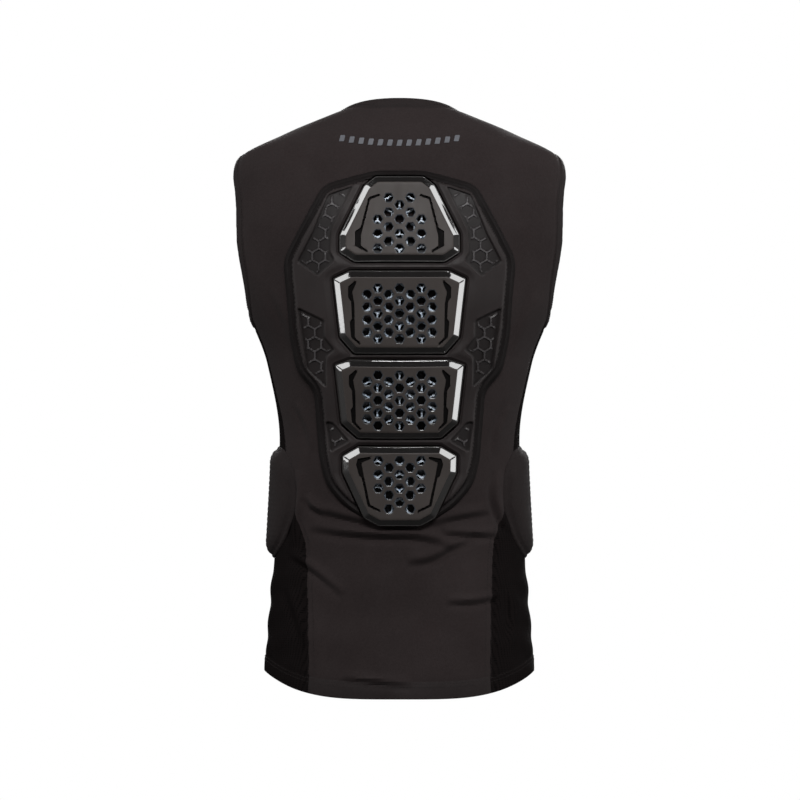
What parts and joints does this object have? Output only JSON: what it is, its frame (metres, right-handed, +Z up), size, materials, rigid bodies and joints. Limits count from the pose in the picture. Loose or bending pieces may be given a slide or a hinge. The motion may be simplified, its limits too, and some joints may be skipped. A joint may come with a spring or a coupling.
{
  "type": "back protector",
  "caption": "Sleeveless riding vest with a moulded back carrier, tilting perforated hard plates over honeycomb cores, flank pads and a full-length front zip.",
  "frame": {"origin": "centre of the hanger loop inside the back of the neck", "axes": "+Z up along the spine, -Y out of the armoured back, +Y out of the zipped front, +X to the wearer's right"},
  "size_m": [0.3828, 0.2332, 0.692],
  "materials": {
    "body_fabric": "black stretch knit with a fine rib and a soft sheen",
    "side_mesh": "black open mesh, matt",
    "binding": "folded black elastic edge with two rows of stitching",
    "foam": "soft black foam",
    "pad_cover": "black fabric moulded with a small raised texture",
    "carrier_foam": "charcoal fabric laminated on moulded foam, matt",
    "window_mesh": "black moulded honeycomb relief under mesh",
    "honeycomb": "bluish-grey honeycomb core with bright cell rims",
    "plate_plastic": "dark grey satin face with a gloss black bevel",
    "reflective": "light grey retro-reflective print",
    "webbing": "narrow black woven tape",
    "zip_tape": "black herringbone zip tape",
    "zip_plastic": "black nylon coil",
    "zip_metal": "black lacquered zinc"
  },
  "bodies": {
    "vest": {"back_panel": "body_fabric", "front_panel_left": "body_fabric", "side_mesh_left": "side_mesh", "armhole_binding_left": "binding", "hem_front_left": "binding", "flank_pad_left": "foam", "flank_pad_cover_left": "pad_cover", "zip_tape_left": "zip_tape", "zip_coil_left": "zip_plastic", "front_panel_right": "body_fabric", "side_mesh_right": "side_mesh", "armhole_binding_right": "binding", "hem_front_right": "binding", "flank_pad_right": "foam", "flank_pad_cover_right": "pad_cover", "zip_tape_right": "zip_tape", "zip_coil_right": "zip_plastic", "hem_back": "binding", "collar_band": "binding", "hanger_loop": "webbing", "back_carrier": "carrier_foam", "window_upper_left": "window_mesh", "window_upper_right": "window_mesh", "window_middle_left": "window_mesh", "window_middle_right": "window_mesh", "window_lower_left": "window_mesh", "window_lower_right": "window_mesh", "honeycomb_core_1": "honeycomb", "honeycomb_core_2": "honeycomb", "honeycomb_core_3": "honeycomb", "honeycomb_core_4": "honeycomb", "reflective_marks": "reflective", "zip_top_stops": "zip_metal", "zip_box": "zip_metal", "zip_pin": "zip_metal", "zip_flap": "body_fabric"},
    "plate_1": {"hard_plate_1": "plate_plastic"},
    "plate_2": {"hard_plate_2": "plate_plastic"},
    "plate_3": {"hard_plate_3": "plate_plastic"},
    "plate_4": {"hard_plate_4": "plate_plastic"},
    "slider": {"zip_slider": "zip_metal"},
    "pull": {"zip_pull": "zip_metal"}
  },
  "joints": [
    {"name": "plate_1_tilt", "type": "hinge", "parent": "vest", "child": "plate_1", "pos_m": [0, -0.06454, -0.11625], "axis": [1, 0, 0], "range_deg": [-2.5, 2.5], "stiffness_Nm_per_rad": 2},
    {"name": "plate_2_tilt", "type": "hinge", "parent": "vest", "child": "plate_2", "pos_m": [0, -0.06892, -0.22325], "axis": [1, 0, 0], "range_deg": [-2.5, 2.5], "stiffness_Nm_per_rad": 2},
    {"name": "plate_3_tilt", "type": "hinge", "parent": "vest", "child": "plate_3", "pos_m": [0, -0.05808, -0.32335], "axis": [1, 0, 0], "range_deg": [-2.5, 2.5], "stiffness_Nm_per_rad": 2},
    {"name": "plate_4_tilt", "type": "hinge", "parent": "vest", "child": "plate_4", "pos_m": [0, -0.04688, -0.4234], "axis": [1, 0, 0], "range_deg": [-2.5, 2.5], "stiffness_Nm_per_rad": 2},
    {"name": "zip_travel", "type": "slide", "parent": "vest", "child": "slider", "axis": [0, 0.0482, -0.9988], "range_m": [0, 0.5847]},
    {"name": "pull_swing", "type": "hinge", "parent": "slider", "child": "pull", "pos_m": [0, 0.12865, -0.05946], "axis": [1, 0, 0], "range_deg": [0, 165]}
  ]
}
